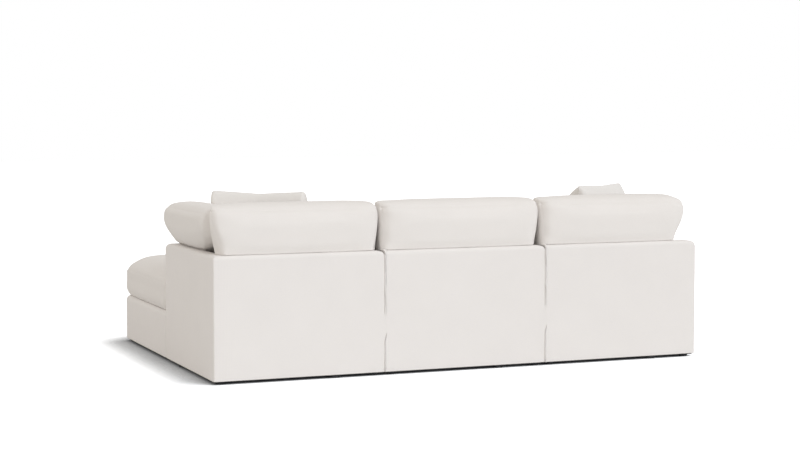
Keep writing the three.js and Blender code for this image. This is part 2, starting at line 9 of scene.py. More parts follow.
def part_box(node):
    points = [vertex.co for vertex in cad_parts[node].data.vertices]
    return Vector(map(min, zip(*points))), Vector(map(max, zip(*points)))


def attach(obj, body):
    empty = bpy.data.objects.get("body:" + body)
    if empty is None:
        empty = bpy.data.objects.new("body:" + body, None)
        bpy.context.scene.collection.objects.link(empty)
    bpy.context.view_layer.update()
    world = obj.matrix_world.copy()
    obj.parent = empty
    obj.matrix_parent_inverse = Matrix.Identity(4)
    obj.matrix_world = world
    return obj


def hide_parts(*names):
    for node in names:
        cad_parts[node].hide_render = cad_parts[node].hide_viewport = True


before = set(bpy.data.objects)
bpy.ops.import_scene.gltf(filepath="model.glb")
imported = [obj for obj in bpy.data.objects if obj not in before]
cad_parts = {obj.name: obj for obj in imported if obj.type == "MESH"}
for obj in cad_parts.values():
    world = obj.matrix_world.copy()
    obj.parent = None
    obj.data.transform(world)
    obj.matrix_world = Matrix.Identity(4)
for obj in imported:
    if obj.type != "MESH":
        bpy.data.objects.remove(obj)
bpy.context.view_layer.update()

scene = bpy.context.scene
scene.view_settings.view_transform = "Standard"

# Sizes that several pieces share, in metres
sofa = {
    "module": 0.92,
    "half": 0.4597,
    "panelInner": 0.3797,
    "panelTop": 0.646,
    "deck": 0.271,
    "hem": 0.018,
}
centres = {
    "corner": (0.92, 0.46),
    "middle": (0.0, 0.46),
    "right": (-0.92, 0.46),
    "ottoman": (0.92, -0.46),
}


def linkedObject(name, data):
    made = bpy.data.objects.new(name, data)
    scene.collection.objects.link(made)
    return made


# Camera, light and floor

cameraSpot = {
    "place": (3.9034, 9.5877, 1.4396),
    "looks": (-0.3756, -0.9241, -0.0708),
    "lens": 82.0,
}
camera = linkedObject("camera", bpy.data.cameras.new("camera"))
scene.camera = camera
camera.data.lens = cameraSpot["lens"]
camera.data.clip_end = 200
camera.location = cameraSpot["place"]
camera.rotation_euler = Vector(cameraSpot["looks"]).to_track_quat("-Z", "Y").to_euler()


def addNode(tree, kind, inputs=None, **settings):
    made = tree.nodes.new(kind)
    for name, value in settings.items():
        setattr(made, name, value)
    for name, value in (inputs or {}).items():
        if isinstance(value, bpy.types.NodeSocket):
            tree.links.new(value, made.inputs[name])
        else:
            made.inputs[name].default_value = value
    return made


def arithmetic(tree, operation, first, second):
    return addNode(tree, "ShaderNodeMath", {0: first, 1: second}, operation=operation).outputs[0]


def rescaled(tree, value, spread, onto):
    # carries one spread of values onto another, and holds at its ends
    sockets = {0: value, 1: spread[0], 2: spread[1], 3: onto[0], 4: onto[1]}
    return addNode(tree, "ShaderNodeMapRange", sockets).outputs[0]


def mixedColour(tree, share, first, second):
    sockets = {0: share, 6: first, 7: second}
    return addNode(tree, "ShaderNodeMix", sockets, data_type="RGBA").outputs[2]


def emptyTree(owner):
    owner.use_nodes = True
    owner.node_tree.nodes.clear()
    return owner.node_tree


def seenDirectly(tree):
    # 1 for what the camera sees directly, in a mirror or through glass
    path = addNode(tree, "ShaderNodeLightPath").outputs
    direct = arithmetic(tree, "MAXIMUM", path["Is Camera Ray"], path["Is Glossy Ray"])
    return arithmetic(tree, "MAXIMUM", direct, path["Is Transmission Ray"])


studio = {
    "ambient": (1.0, 0.968, 0.925),
    "ambientStrength": 0.67,
    "keyStrength": 1.14,
    "keyColour": (0.945, 1.0, 1.075),
    "keyFrom": (-0.4, 0.85, 0.4),
    "keySoftness": 40,
    "fillStrength": 0.37,
    "fillColour": (1.02, 0.965, 0.91),
    "fillFrom": (0.9, 0.3, 0.35),
    "fillSoftness": 90,
}


def lightStudio():
    world = bpy.data.worlds.new("studio")
    tree = emptyTree(world)
    ambient = {"Color": (*studio["ambient"], 1), "Strength": studio["ambientStrength"]}
    lit = addNode(tree, "ShaderNodeBackground", ambient)
    white = addNode(tree, "ShaderNodeBackground", {"Color": (1, 1, 1, 1)})
    parts = {0: seenDirectly(tree), 1: lit.outputs[0], 2: white.outputs[0]}
    mix = addNode(tree, "ShaderNodeMixShader", parts)
    addNode(tree, "ShaderNodeOutputWorld", {"Surface": mix.outputs[0]})
    scene.world = world
    for name in ("key", "fill"):
        lamp = bpy.data.lights.new(name, "SUN")
        lamp.energy = studio[name + "Strength"]
        lamp.angle = math.radians(studio[name + "Softness"])
        lamp.color = studio[name + "Colour"]
        holder = linkedObject(name, lamp)
        holder.rotation_euler = Vector(studio[name + "From"]).to_track_quat("Z", "Y").to_euler()


# the shade and glow entries set the floor's painted shadow near the sofa, taken from ambient
# occlusion
floorLook = {
    "size": 60,
    "seen": (0.8, 0.825, 0.86),
    "bounced": (0.72, 0.715, 0.7),
    "shadeFrom": (-0.55, 0.76, 0.35),
    "shadeReach": 0.24,
    "shadeStart": 0.45,
    "darkest": 0.55,
    "glowStart": 0.58,
    "openGlow": 0.8,
}


def layFloor():
    bpy.ops.mesh.primitive_plane_add(size=floorLook["size"], location=(0, 0, 0))
    floor = bpy.context.object
    floor.name = "studio_floor"
    material = bpy.data.materials.new("pale floor")
    tree = emptyTree(material)
    direct = seenDirectly(tree)
    # the open floor shows white; near the sofa, ambient occlusion darkens its colour and fades its
    # glow: a painted shadow
    side = dict(enumerate(Vector(floorLook["shadeFrom"]).normalized()))
    towards = addNode(tree, "ShaderNodeCombineXYZ", side)
    sockets = {"Normal": towards.outputs[0], "Distance": floorLook["shadeReach"]}
    openness = addNode(tree, "ShaderNodeAmbientOcclusion", sockets, samples=8).outputs["AO"]
    shade = rescaled(tree, openness, (floorLook["shadeStart"], 1), (floorLook["darkest"], 1))
    tinted = {0: floorLook["seen"], "Scale": shade}
    seen = addNode(tree, "ShaderNodeVectorMath", tinted, operation="SCALE")
    colour = mixedColour(tree, direct, (*floorLook["bounced"], 1), seen.outputs[0])
    shader = addNode(tree, "ShaderNodeBsdfDiffuse", {"Color": colour})
    glow = rescaled(tree, openness, (floorLook["glowStart"], 1), (0, floorLook["openGlow"]))
    strength = arithmetic(tree, "MULTIPLY", glow, direct)
    light = addNode(tree, "ShaderNodeEmission", {"Strength": strength})
    both = addNode(tree, "ShaderNodeAddShader", {0: shader.outputs[0], 1: light.outputs[0]})
    addNode(tree, "ShaderNodeOutputMaterial", {"Surface": both.outputs[0]})
    floor.data.materials.append(material)


lightStudio()
layFloor()
print("stage: camera, light and floor")


# Cloths and other finishes

clothLooks = {
    "ivory cloth": {"colour": (0.847, 0.816, 0.794), "thread": 0.0011, "relief": 0.2},
    "cushion cloth": {"colour": (0.832, 0.8, 0.773), "thread": 0.0011, "relief": 0.2},
    "pillow cloth": {"colour": (0.818, 0.796, 0.77), "thread": 0.0013, "relief": 0.25},
}
# What the three cloths share: threads, slubs along them and a cloudy dye
weaveLook = {
    "wave": {"Distortion": 1.6, "Detail": 1, "Detail Scale": 0.6},
    "warpShare": 0.35,
    "weaveTint": (0.975, 1.015),
    "slubStretch": (45, 900, 1),
    "slubTint": (0.97, 1.03),
    "slubHeight": 0.6,
    "clouds": {"Scale": 5.0, "Detail": 3.0},
    "cloudTint": (0.975, 1.02),
    "rough": (0.96, 0.86),
    "fibres": {"Specular IOR Level": 0.2, "Sheen Weight": 0.12, "Sheen Roughness": 0.5},
}


def weaveWave(tree, place, direction, thread):
    sockets = {"Vector": place, "Scale": math.pi / 10 / thread, **weaveLook["wave"]}
    kind = {"wave_type": "BANDS", "bands_direction": direction}
    return addNode(tree, "ShaderNodeTexWave", sockets, **kind).outputs["Fac"]


def finishSurface(tree, colour, rough, height, relief, depth, extras):
    raised = {"Height": height, "Strength": relief, "Distance": depth}
    bump = addNode(tree, "ShaderNodeBump", raised).outputs[0]
    sockets = {"Base Color": colour, "Roughness": rough, "Normal": bump, **extras}
    shader = addNode(tree, "ShaderNodeBsdfPrincipled", sockets)
    addNode(tree, "ShaderNodeOutputMaterial", {"Surface": shader.outputs[0]})


def wovenCloth(name, look):
    # threads follow the piece's own flat cloth coordinates, in metres
    material = bpy.data.materials.new(name)
    tree = emptyTree(material)
    place = addNode(tree, "ShaderNodeTexCoord").outputs
    warp, weft = (weaveWave(tree, place["UV"], axis, look["thread"]) for axis in ("X", "Y"))
    crossing = arithmetic(tree, "MULTIPLY", warp, weft)
    ribs = arithmetic(tree, "MULTIPLY", warp, weaveLook["warpShare"])
    threads = arithmetic(tree, "ADD", crossing, ribs)
    threadSpread = (0, 1 + weaveLook["warpShare"])
    stretch = {"Vector": place["UV"], "Scale": weaveLook["slubStretch"]}
    stretched = addNode(tree, "ShaderNodeMapping", stretch).outputs[0]
    slubs = addNode(tree, "ShaderNodeTexNoise", {"Vector": stretched, "Scale": 1.0}).outputs["Fac"]
    dye = {"Vector": place["Object"], **weaveLook["clouds"]}
    clouds = addNode(tree, "ShaderNodeTexNoise", dye).outputs["Fac"]
    tint = rescaled(tree, clouds, (0, 1), weaveLook["cloudTint"])
    thread = rescaled(tree, slubs, (0, 1), weaveLook["slubTint"])
    weave = rescaled(tree, threads, threadSpread, weaveLook["weaveTint"])
    shade = arithmetic(tree, "MULTIPLY", arithmetic(tree, "MULTIPLY", tint, thread), weave)
    tinted = {0: look["colour"], "Scale": shade}
    colour = addNode(tree, "ShaderNodeVectorMath", tinted, operation="SCALE").outputs[0]
    raised = arithmetic(tree, "MULTIPLY", slubs, weaveLook["slubHeight"])
    height = arithmetic(tree, "ADD", threads, raised)
    rough = rescaled(tree, threads, threadSpread, weaveLook["rough"])
    depth = look["thread"] / 4
    finishSurface(tree, colour, rough, height, look["relief"], depth, weaveLook["fibres"])
    return material


cloths = {name: wovenCloth(name, look) for name, look in clothLooks.items()}
# what the finishes of the inner pieces share
# the first entry is the near-black colour of the painted shade at the frames' foot
hiddenShare = {"paintedFootShade": (0.008, 0.008, 0.009, 1), "depth": 0.0005, "smoother": 0.08, "rougher": 0.05}


def hiddenFinish(name, look):
    # a finish on the CAD nodes, from Object coordinates
    material = bpy.data.materials.new(name)
    tree = emptyTree(material)
    place = addNode(tree, "ShaderNodeTexCoord").outputs["Object"]
    scaled = addNode(tree, "ShaderNodeMapping", {"Vector": place, "Scale": look["stretch"]})
    grain = {"Vector": scaled.outputs[0], "Scale": 1.0, "Detail": 4.0}
    band = addNode(tree, "ShaderNodeTexNoise", grain).outputs["Fac"]
    if "weave" in look:
        threads = [weaveWave(tree, place, axis, look["weave"]) for axis in ("X", "Y")]
        band = arithmetic(tree, "MULTIPLY", arithmetic(tree, "ADD", *threads), band)
    colour = mixedColour(tree, band, (*look["dark"], 1), (*look["light"], 1))
    if "paintedFootShade" in look:
        # the frame's foot is painted near-black up to the given height: painted shade where the
        # frame stands in the dark gap under the hem
        height = addNode(tree, "ShaderNodeSeparateXYZ", {0: place}).outputs["Z"]
        abovePaintedShade = arithmetic(tree, "GREATER_THAN", height, look["paintedFootShade"])
        colour = mixedColour(tree, abovePaintedShade, hiddenShare["paintedFootShade"], colour)
    rough = look["rough"] - hiddenShare["smoother"], look["rough"] + hiddenShare["rougher"]
    rough = rescaled(tree, band, (0, 1), rough)
    metal = {"Metallic": look.get("metallic", 0.0)}
    finishSurface(tree, colour, rough, band, look["relief"], hiddenShare["depth"], metal)
    return material


hiddenLooks = {
    "planed timber": {
        "dark": (0.36, 0.21, 0.1), "light": (0.66, 0.47, 0.27), "stretch": (3, 60, 60),
        # the last entry is how high the painted shade at the frame's foot reaches
        "relief": 0.25, "rough": 0.7, "paintedFootShade": 0.03,
    },
    "elastic webbing": {
        "dark": (0.1, 0.09, 0.07), "light": (0.26, 0.23, 0.19), "stretch": (20, 20, 20),
        "relief": 0.6, "rough": 0.9, "weave": 0.003,
    },
    "black dust cloth": {
        "dark": (0.006, 0.006, 0.007), "light": (0.022, 0.022, 0.024),
        "stretch": (300, 300, 300), "relief": 0.5, "rough": 0.92, "weave": 0.0016,
    },
    "black plastic": {
        "dark": (0.006, 0.006, 0.007), "light": (0.014, 0.014, 0.015),
        "stretch": (900, 900, 900), "relief": 0.2, "rough": 0.5,
    },
    "black steel": {
        "dark": (0.008, 0.008, 0.009), "light": (0.02, 0.02, 0.021),
        "stretch": (60, 900, 60), "relief": 0.15, "rough": 0.6,
    },
    "zinc steel": {
        "dark": (0.42, 0.43, 0.44), "light": (0.66, 0.67, 0.68), "stretch": (60, 900, 60),
        "relief": 0.15, "rough": 0.36, "metallic": 1.0,
    },
}
finishes = {name: hiddenFinish(name, look) for name, look in hiddenLooks.items()}
nodeFinishes = {
    "_frame": "planed timber",
    "_seat_webbing": "elastic webbing",
    "_dust_cover": "black dust cloth",
    "_bracket": "black steel",
    "_tongue": "zinc steel",
    "receiver": "zinc steel",
    "_foot_": "black plastic",
}
for name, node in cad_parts.items():
    for ending, finish in nodeFinishes.items():
        if ending in name:
            node.data.materials.clear()
            node.data.materials.append(finishes[finish])
print("stage: finishes")


# Mesh helpers


def gridLines(low, high, near, cell):
    # places along one side: close together near both ends, even between
    length = high - low
    steps = [step for step in near if step < length / 2 - cell / 2]
    middle = length - 2 * steps[-1]
    count = max(1, round(middle / cell))
    inner = [steps[-1] + middle * i / count for i in range(1, count)]
    return [low + step for step in steps + inner] + [high - step for step in reversed(steps)]


def boxLines(low, high, look):
    return [gridLines(low[k], high[k], look["near"], look["cell"]) for k in range(3)]


def boxSkin(lines, openBottom=False):
    # the outside of a box as a grid on every side: points, the sides that each lies on as -1, 0
    # or 1 for each axis, quads and flat coordinates
    counts = [len(line) - 1 for line in lines]
    numbers, points, keys, quads, flats = {}, [], [], [], []
    for axis in range(3):
        across, along = (axis + 1) % 3, (axis + 2) % 3
        for side in (0, counts[axis]):
            if openBottom and axis == 2 and side == 0:
                continue
            for i in range(counts[across]):
                for j in range(counts[along]):
                    ring = [(i, j), (i + 1, j), (i + 1, j + 1), (i, j + 1)]
                    if side == 0:
                        ring.reverse()
                    quad = []
                    for a, b in ring:
                        key = [0, 0, 0]
                        key[axis], key[across], key[along] = side, a, b
                        key = tuple(key)
                        if key not in numbers:
                            numbers[key] = len(points)
                            points.append([lines[k][key[k]] for k in range(3)])
                            keys.append(key)
                        quad.append(numbers[key])
                        flats.append((lines[across][a], lines[along][b]))
                    quads.append(quad)
    extremes = [
        [-1 if key[k] == 0 else 1 if key[k] == counts[k] else 0 for k in range(3)] for key in keys
    ]
    return np.array(points), np.array(extremes), quads, flats


def newPiece(name, points, faces, flats, material):
    mesh = bpy.data.meshes.new(name)
    mesh.from_pydata(np.asarray(points).tolist(), [], faces)
    layer = mesh.uv_layers.new(name="cloth")
    layer.data.foreach_set("uv", np.array(flats, float).ravel())
    mesh.polygons.foreach_set("use_smooth", [True] * len(mesh.polygons))
    mesh.materials.append(material)
    return linkedObject(name, mesh)


def vectorsOf(items, name):
    values = np.empty(len(items) * 3)
    items.foreach_get(name, values)
    return values.reshape(-1, 3)


def pointsOf(piece):
    return vectorsOf(piece.data.vertices, "co")


def setPoints(piece, points):
    piece.data.vertices.foreach_set("co", np.asarray(points, float).ravel())
    piece.data.update()


def normalsOf(piece):
    return vectorsOf(piece.data.vertex_normals, "vector")


def rounded(points, low, high, radii):
    # points of a box's outside drawn onto the same box with rounded edges
    low, high, radii = (np.array(value, float) for value in (low, high, radii))
    core = np.clip(points, low + radii, high - radii)
    reach = (points - core) / radii
    longest = np.abs(reach).max(axis=1, keepdims=True)
    length = np.linalg.norm(reach, axis=1, keepdims=True)
    return core + radii * reach * longest / np.maximum(length, 1e-9)


def smoothStep(value, low, high):
    share = np.clip((value - low) / (high - low), 0, 1)
    return share * share * (3 - 2 * share)


def byEnd(s, pair):
    # the first value where s is negative, the second where it is positive
    return np.where(s > 0, pair[1], pair[0])


def ripple(points, height, length):
    # the slow unevenness of padding under cloth, inwards only and the same every time
    x, y, z = (points / length).T
    wave = np.sin(x * 5.1 + np.sin(z * 3.7 + 1.3)) * np.cos(z * 4.3 - x * 1.9 + y * 2.7)
    wave += 0.6 * np.sin(z * 9.1 + y * 6.3 + 2.1) * np.sin(x * 8.3 - 0.7)
    return (height * wave - height * 1.6)[:, None]


def finishCover(piece, look):
    # the cloth sinks in here and there, and gets its thickness inwards
    points = pointsOf(piece)
    lift = ripple(points, look["ripple"], look["rippleLength"])
    setPoints(piece, points + normalsOf(piece) * lift)
    wall = piece.modifiers.new("wall", "SOLIDIFY")
    wall.thickness = look["wall"]
    wall.offset = -1


# Panel covers: a profile over the panel's two faces and top, carried along the panel

panelCover = {
    "thickness": 0.08,
    "edge": 0.02,
    "leastEdge": 0.0015,
    "arcSteps": 6,
    "seamOverlap": 0.0004,
    "near": [0, 0.003, 0.01, 0.022],
    "rowsPast": 0.012,
    "rowGap": 0.001,
    "shiftRun": 0.1,
    "endArcSteps": 5,
    "endSteps": (0.012, 0.018, 0.026, 0.036, 0.046, 0.056, 0.07),
    "turnSteps": (0.012, 0.03),
    "turnLength": 0.02,
    "cornerRadius": 0.009,
    "cell": 0.024,
    "wall": 0.006,
    "mergeWithin": 2e-5,
    "ripple": 0.0005,
    "rippleLength": 0.5,
}
# how an end closes: the run and the drop of the top's slope, and the upright edge's radius
panelEnds = {
    "open": (0.05, 0.018, 0.005),
    "free": (0.05, 0.018, 0.0006),
    "seam": (0.001, 0.001, 0.0006),
    "front": (0.06, 0.02, 0.005),
}


def quarterTurn(steps):
    return [math.pi / 2 * i / steps for i in range(steps + 1)]


def panelProfile(inset, top):
    # (sideways, up, length along the cloth) from the outer hem over the top to the inner hem
    edge, hem = panelCover["edge"], sofa["hem"]
    radius = max(edge - inset, panelCover["leastEdge"])
    reach = panelCover["thickness"] / 2 - inset
    bend = sofa["panelTop"] - edge
    rows = gridLines(hem, bend + panelCover["rowsPast"], panelCover["near"], panelCover["cell"])
    rows = [row for row in rows if row < bend - panelCover["rowGap"]]
    shift = top - inset - radius - bend
    outer = [
        (reach, row + shift * smoothStep(row, bend - panelCover["shiftRun"], bend), row)
        for row in rows
    ]
    for angle in quarterTurn(panelCover["arcSteps"]):
        across = reach - radius + radius * math.cos(angle)
        up = top - inset - radius + radius * math.sin(angle)
        outer.append((across, up, bend + edge * angle))
    crest = outer[-1]
    inner = [(-across, up, 2 * (crest[2] + reach) - along) for across, up, along in reversed(outer)]
    between = [
        (crest[0] * (1 - 2 * share), crest[1], crest[2] + 2 * reach * share)
        for share in (0.25, 0.5, 0.75)
    ]
    return outer + between + inner


def endStations(run, drop, edge):
    # how a panel's end closes: (distance from the end, inset, top)
    stations = [
        (edge * (1 - math.cos(angle)), edge * (1 - math.sin(angle)))
        for angle in quarterTurn(panelCover["endArcSteps"])
    ]
    stations += [(step, 0) for step in panelCover["endSteps"]]
    finished = []
    for distance, inset in stations:
        share = max(0, 1 - distance / run)
        fall = drop * (1 - math.sqrt(max(0, 1 - share * share)))
        finished.append((distance, inset, sofa["panelTop"] - fall))
    return finished


def panelStations(legs, firstEnd, lastEnd):
    # stations along one or two legs: place, outward direction, distance, inset and top
    stations = []
    travelled = 0
    turning = [(step, 0, sofa["panelTop"]) for step in panelCover["turnSteps"]]
    for number, (start, end, outward) in enumerate(legs):
        start, end, outward = Vector(start), Vector(end), Vector(outward)
        length = (end - start).length
        along = (end - start) / length
        first = endStations(*panelEnds[firstEnd]) if number == 0 else turning
        last = endStations(*panelEnds[lastEnd]) if number == len(legs) - 1 else turning
        body = gridLines(first[-1][0], length - last[-1][0], [0], panelCover["cell"])
        spots = first + [(distance, 0, sofa["panelTop"]) for distance in body[1:-1]]
        spots += [(length - distance, inset, top) for distance, inset, top in reversed(last)]
        for distance, inset, top in spots:
            stations.append((start + along * distance, outward, travelled + distance, inset, top))
        travelled += length
    return stations


def cornerFan(travelled):
    # the cloth turns the outer corner on a small radius
    radius, thickness = panelCover["cornerRadius"], panelCover["thickness"]
    fan = []
    for angle in quarterTurn(panelCover["arcSteps"]):
        ring = []
        for across, up, _ in panelProfile(0, sofa["panelTop"]):
            share = (across + thickness / 2) / thickness
            curve = radius * share
            centre = sofa["panelInner"] + thickness * share - curve
            ring.append((centre + curve * math.sin(angle), centre + curve * math.cos(angle), up))
        fan.append((ring, travelled + radius * angle))
    return fan


def sweepPanel(name, legs, firstEnd, lastEnd):
    stations = panelStations(legs, firstEnd, lastEnd)
    turnAt = sum(1 for station in stations if station[1] == stations[0][1])
    rings = []  # each with its distance along the cloth
    for index, (place, outward, travelled, inset, top) in enumerate(stations):
        if index == turnAt:
            rings += cornerFan(travelled - panelCover["turnSteps"][0])
        ring = [
            (place.x + outward.x * across, place.y + outward.y * across, up)
            for across, up, _ in panelProfile(inset, top)
        ]
        rings.append((ring, travelled + (panelCover["turnLength"] if index >= turnAt else 0)))
    count = len(rings[0][0])
    lengths = [along for _, _, along in panelProfile(0, sofa["panelTop"])]
    points = [point for ring, _ in rings for point in ring]
    faces, cloth = [], []
    for a in range(len(rings) - 1):
        for b in range(count - 1):
            quad = [(a, b), (a + 1, b), (a + 1, b + 1), (a, b + 1)]
            faces.append([i * count + j for i, j in quad])
            cloth += [(rings[i][1], lengths[j]) for i, j in quad]
    for ring, turned in ((0, False), (len(rings) - 1, True)):
        # the ends close from the outer face to the inner one
        for b in range(count // 2):
            far = count - 1 - b
            if far - b < 2:
                continue
            face = sorted({ring * count + k for k in (b, b + 1, far - 1, far)}, reverse=turned)
            faces.append(face)
            cloth += [(points[k][0] + points[k][1], points[k][2]) for k in face]
    piece = newPiece(name, points, faces, cloth, cloths["ivory cloth"])
    merged = bmesh.new()
    merged.from_mesh(piece.data)
    bmesh.ops.remove_doubles(merged, verts=merged.verts, dist=panelCover["mergeWithin"])
    bmesh.ops.recalc_face_normals(merged, faces=merged.faces)
    merged.to_mesh(piece.data)
    merged.free()
    finishCover(piece, panelCover)
    return piece


def placedPanel(name, module, legs, firstEnd, lastEnd, nodes):
    piece = sweepPanel(name, legs, firstEnd, lastEnd)
    x, y = centres[module]
    setPoints(piece, pointsOf(piece) + (x, y, 0))
    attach(piece, module)
    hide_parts(*nodes)


centreLine = sofa["panelInner"] + panelCover["thickness"] / 2
halfSpan = sofa["half"]
seamSpan = sofa["module"] / 2 + panelCover["seamOverlap"]
backLeg = ((-seamSpan, centreLine, 0), (seamSpan, centreLine, 0), (0, 1, 0))
placedPanel("middle_back_upholstery", "middle", [backLeg], "free", "seam", ["middle_back_cover"])
placedPanel("right_back_upholstery", "right", [backLeg], "open", "seam", ["right_back_cover"])
cornerLegs = [
    ((-seamSpan, centreLine, 0), (sofa["panelInner"], centreLine, 0), (0, 1, 0)),
    ((centreLine, sofa["panelInner"], 0), (centreLine, -halfSpan, 0), (1, 0, 0)),
]
cornerNodes = ["corner_back_cover", "corner_side_cover"]
placedPanel("corner_panel_upholstery", "corner", cornerLegs, "free", "front", cornerNodes)
print("stage: panel covers")


# Base covers

baseCover = {
    "radii": (0.026, 0.026, 0.034),
    "near": [0, 0.004, 0.009, 0.014, 0.02, 0.027, 0.034, 0.044],
    "cell": 0.026,
    "wall": 0.005,
    "air": 0.0005,
    "ripple": 0.0006,
    "rippleLength": 0.4,
}
# each base ends at half its module, or at the inner face of a panel
panelSide = sofa["panelInner"] - baseCover["air"]
footprints = {
    "corner": (panelSide, panelSide),
    "middle": (halfSpan, panelSide),
    "right": (halfSpan, panelSide),
    "ottoman": (halfSpan, halfSpan),
}


def makeBase(module):
    x, y = centres[module]
    low = np.array([-halfSpan, -halfSpan, sofa["hem"]]) + (x, y, 0)
    high = np.array([*footprints[module], sofa["deck"]]) + (x, y, 0)
    points, _, quads, flats = boxSkin(boxLines(low, high, baseCover), openBottom=True)
    radii = np.array(baseCover["radii"])
    points = rounded(points, low - (0, 0, radii[2]), high, radii)
    piece = newPiece(f"{module}_base_upholstery", points, quads, flats, cloths["ivory cloth"])
    finishCover(piece, baseCover)
    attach(piece, module)
    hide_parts(f"{module}_base_cover")


for module in footprints:
    makeBase(module)
print("stage: base covers")


# Cushions

seatCushion = {
    "bottom": sofa["deck"] + 0.0008,
    "seam": 0.15,
    "crown": 0.092,
    "crownPower": 4,
    "shoulder": 0.52,
    "bulge": 0.01,
    "foot": 0.026,
    "footFrom": -0.05,
    "holdBelow": -0.3,
    "squareness": 14,
    "cornerRadii": (0.055, 0.055, 1),
    "play": 0.0012,
    "near": [0, 0.004, 0.01, 0.018, 0.028, 0.04, 0.054],
    "cell": 0.018,
    "seamDepth": 0.0022,
}
# sides with no neighbour, as (axis, direction)
freeSides = {
    "corner": [],
    "middle": [(1, -1)],
    "right": [(1, -1), (0, -1)],
    "ottoman": [(1, -1), (0, -1), (0, 1)],
}
# what every back and side cushion has, unless its own entry below says otherwise
backCushion = {
    "bottom": 0.44,
    "top": 0.893,
    "drop": 0,
    "depth": 0.228,
    "gap": 0.0008,
    "frontCrown": 0.018,
    "rearCrown": 0.011,
    "crownSquareness": 3.2,
    "topBulge": 0.013,
    "squareTop": (18, 18),
    "endBulge": 0.009,
    "squareEnd": 10,
    "radii": (0.032, 0.05, 0.042),
    "softEnd": 0.032,
    "pinch": (0.4, 0.4),
    "pinchSharpness": 12,
    "pinchFrom": 0.3,
    "ear": (0.013, 0.013),
    "earSharpness": (20, 14),
    "waistTop": (-0.25, 0.85),
    "waistFoot": (-1.2, -0.4),
    "pressedShare": 0.9,
    "rearEnds": ((-0.1, 0.6), (0.35, 1)),
    "overhang": 0.064,
    "loll": (0.604, 0.65),
    "frontPart": 3,
    "frontLoll": (0.59, 0.83),
    "panelLines": [0.612, 0.624, 0.634, 0.641, 0.6465, 0.65, 0.656, 0.664, 0.675, 0.688],
    "lineRoom": 0.007,
    "near": [0, 0.004, 0.01, 0.017, 0.026, 0.036, 0.048, 0.062],
    "cell": 0.016,
    "seamDepth": 0.0003,
    "holdPast": 0.012,
    "reachPast": 0.02,
}


def seatSpan(module):
    x, y = centres[module]
    half, inner = sofa["module"] / 2 - seatCushion["play"], sofa["panelInner"] - seatCushion["play"]
    right = x + (inner if module == "corner" else half)
    far = y + (half if module == "ottoman" else inner)
    low = np.array([x - half, y - half, seatCushion["bottom"]])
    high = np.array([right, far, seatCushion["bottom"] + seatCushion["seam"]])
    for axis, direction in freeSides[module]:
        (low if direction < 0 else high)[axis] += direction * seatCushion["bulge"]
    return low, high


def makeSeat(module):
    look = seatCushion
    low, high = seatSpan(module)
    points, extremes, quads, flats = boxSkin(boxLines(low, high, look))
    middle, reach = (low + high) / 2, (high - low) / 2
    s, w, t = ((points - middle) / reach).T
    # rounded in plan only: the crown carries the sides on over a soft shoulder
    tall = np.array([0, 0, 2])
    formed = rounded(points, low - tall, high + tall, look["cornerRadii"])
    footShare = np.clip((look["footFrom"] - t) / (1 + look["footFrom"]), 0, 1)
    drawn = look["foot"] * footShare**2
    formed[:, 0] -= s * drawn
    formed[:, 1] -= w * drawn
    power = look["squareness"]
    spread = (np.abs(s) ** power + np.abs(w) ** power) ** (1 / power)
    crown = look["crown"] * (1 - np.minimum(spread, 1) ** look["crownPower"]) ** look["shoulder"]
    formed[:, 2] += np.where(extremes[:, 2] == 1, crown, 0)
    piece = newPiece(f"{module}_seat_pad", formed, quads, flats, cloths["cushion cloth"])
    seam = (np.abs(extremes[:, 2]) == 1) & ((extremes[:, 0] != 0) | (extremes[:, 1] != 0))
    return {
        "piece": piece,
        "seam": seam,
        "topRing": seam & (extremes[:, 2] == 1),
        "depth": look["seamDepth"],
        "hold": t < look["holdBelow"],
    }


# Span, draw, cornerDraw, pinch, pressed, ear and squareTop give the end towards -X first, and on
# the side cushion the end in the sofa's corner. Cut is the run and the fall of a slope.
softRearEnd = {"ear": (0.013, 0.019), "softEnd": 0.045, "squareTop": (18, 70)}
cushionSpots = {
    "corner_back_cushion": {
        "module": "corner", "span": (-0.4592, 0.4652), "draw": (0.029, 0.05),
        "cornerDraw": (0.0045, 0), "cut": (0.03, 0.01), "pinch": (0.12, 0.4),
        "pressed": (0.9, 0), "reachPast": 0.01,
    },
    "middle_back_cushion": {
        "module": "middle", "span": (-0.4592, 0.4592), "draw": (0.035, -0.01),
        "cornerDraw": (0.0042, -0.012), "cut": (0.03, 0.01), "pinch": (0.1, 0.45),
        **softRearEnd, "pressed": (0.9, 0.8),
    },
    "right_back_cushion": {
        "module": "right", "span": (-0.4425, 0.4592), "draw": (0.084, -0.01),
        "cornerDraw": (0, -0.012), "cut": (0.085, 0.028), "pinch": (0.3, 0.45),
        **softRearEnd, "pressed": (0, 0.8),
    },
    "corner_side_cushion": {
        "module": "corner", "span": (-0.33, 0.459), "draw": (0.03, 0.006),
        "cornerDraw": (0, 0), "pinch": (0.1, 0.1), "pressed": (0, 0),
        "tuck": {"level": 0.75, "reach": 0.11, "depth": 0.22, "power": 2.2},
        "drop": 0.026, "air": 0.009, "overhang": 0.118, "loll": (0.57, 0.79),
        "sideways": True,
    },
}


def lollBack(points, look, front):
    # the rear face leans out over the panel sooner and further than the front face
    rear = look["overhang"] * smoothStep(points[:, 2], *look["loll"])
    ahead = look["overhang"] / look["frontPart"] * smoothStep(points[:, 2], *look["frontLoll"])
    share = np.clip((points[:, 1] - front) / look["depth"], 0, 1)
    points[:, 1] += ahead + (rear - ahead) * share
    return points


